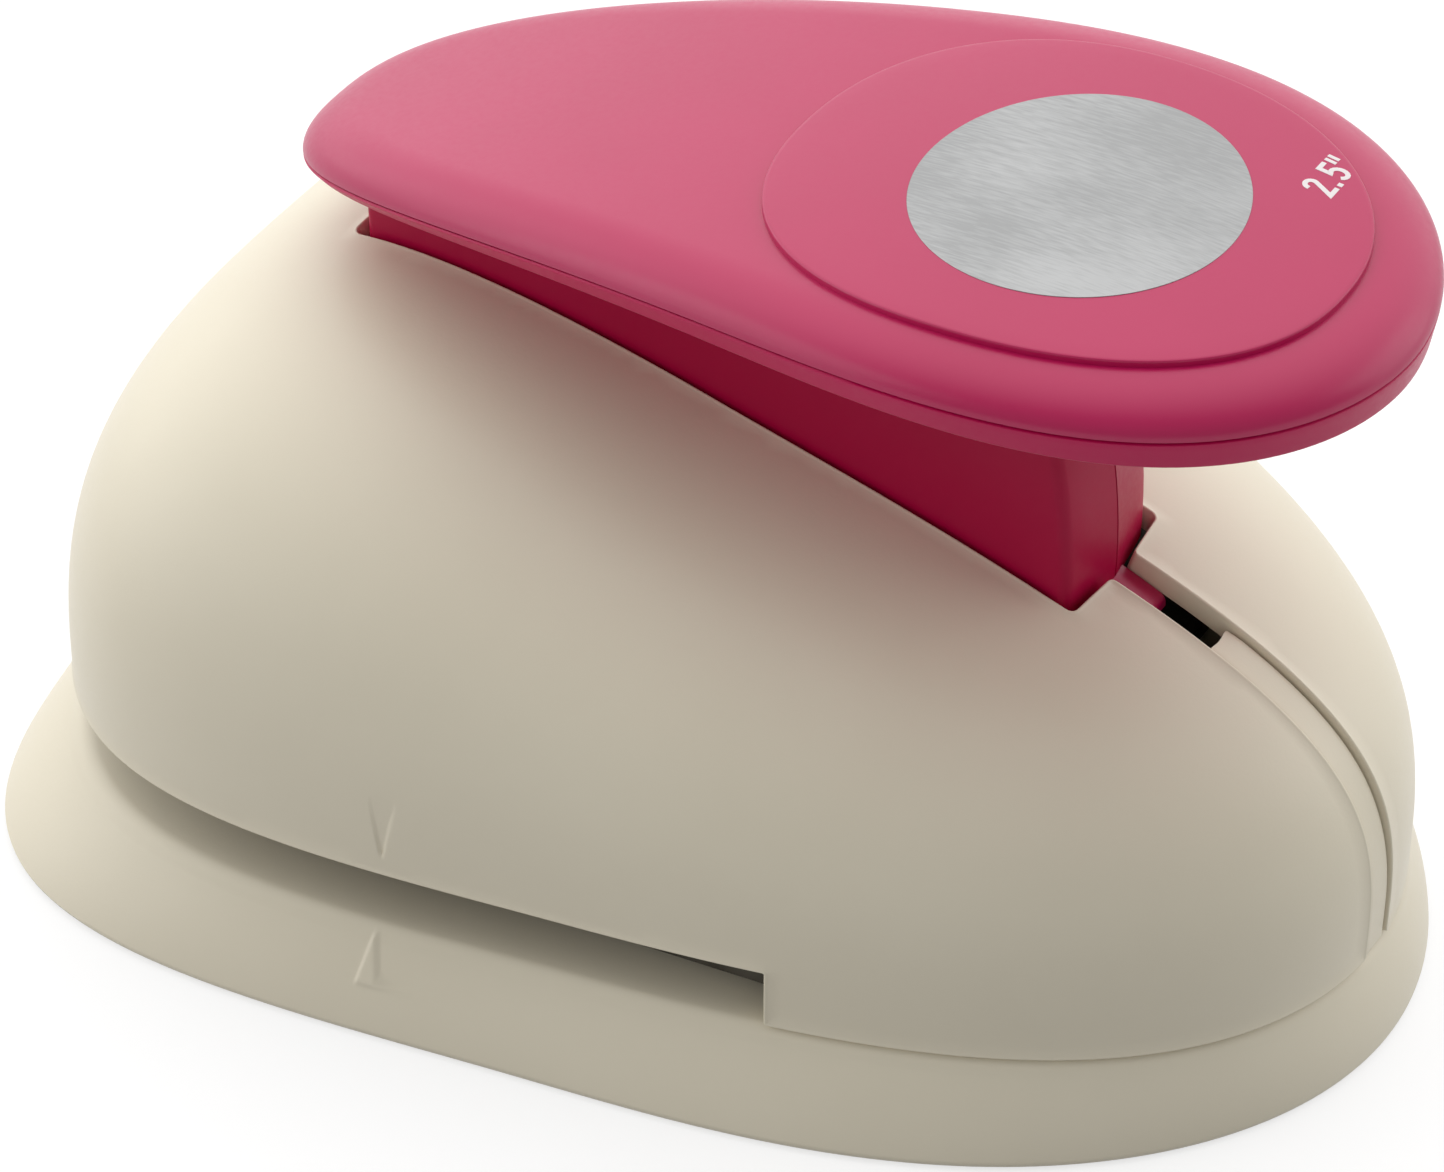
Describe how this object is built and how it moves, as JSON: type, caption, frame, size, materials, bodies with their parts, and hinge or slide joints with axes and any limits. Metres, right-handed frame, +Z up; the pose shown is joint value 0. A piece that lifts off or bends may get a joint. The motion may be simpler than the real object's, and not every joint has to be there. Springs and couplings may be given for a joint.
{
  "type": "circle punch",
  "caption": "Lever craft punch with a domed housing on a flared base; pressing the egg-shaped lever drives a round block through the die to cut a circle of paper.",
  "frame": {"origin": "centre of the base's underside, on the surface that the punch stands on", "axes": "+X along the base to the wide end of the lever, where the hand presses; -X to the open end of the paper slot; +Z up"},
  "size_m": [0.15, 0.1226, 0.0938],
  "materials": {
    "cream_plastic": "satin",
    "magenta_plastic": "satin",
    "brushed_metal": "brushed",
    "steel": "ground",
    "dark_steel": "satin",
    "spring_steel": "drawn",
    "white_nylon": "satin"
  },
  "bodies": {
    "frame": {"base_shell": "cream_plastic", "housing_shell": "cream_plastic", "rear_spine": "cream_plastic", "die_plate": "steel", "guide_plate": "dark_steel", "throat_spacer": "dark_steel", "pivot_yoke": "dark_steel", "pivot_pin": "steel", "pivot_clip_near": "spring_steel", "pivot_clip_far": "spring_steel", "guide_post_1": "steel", "guide_post_2": "steel", "guide_post_3": "steel", "guide_post_4": "steel", "return_spring_1": "spring_steel", "return_spring_2": "spring_steel", "return_spring_3": "spring_steel", "return_spring_4": "spring_steel", "housing_screw_1": "steel", "housing_screw_2": "steel", "housing_screw_3": "steel", "housing_screw_4": "steel", "die_screw_1": "steel", "die_screw_2": "steel", "die_screw_3": "steel", "die_screw_4": "steel", "frame_screw_1": "steel", "frame_screw_2": "steel", "frame_screw_3": "steel", "yoke_screw_1": "steel", "yoke_screw_2": "steel"},
    "lever": {"lever_body": "magenta_plastic", "lever_cap": "magenta_plastic", "thumb_pad": "magenta_plastic", "metal_disc": "brushed_metal"},
    "punch": {"punch_block": "steel", "press_plate": "white_nylon", "press_screw_1": "steel", "press_screw_2": "steel"}
  },
  "joints": [
    {"name": "lever_press", "type": "hinge", "parent": "frame", "child": "lever", "pos_m": [-0.0415, 0, 0.049], "axis": [0, 1, 0], "range_deg": [0, 14.8], "stiffness_Nm_per_rad": 0.25, "springref_deg": -17.19},
    {"name": "punch_slide", "type": "slide", "parent": "frame", "child": "punch", "axis": [0, 0, -1], "range_m": [0, 0.007], "stiffness_N_per_m": 600, "springref_m": -0.005, "deforming": ["return_spring_1", "return_spring_2", "return_spring_3", "return_spring_4"]}
  ],
  "couplings": [
    {"joint": "punch_slide", "follows": "lever_press", "m_per_rad": 0.027}
  ]
}
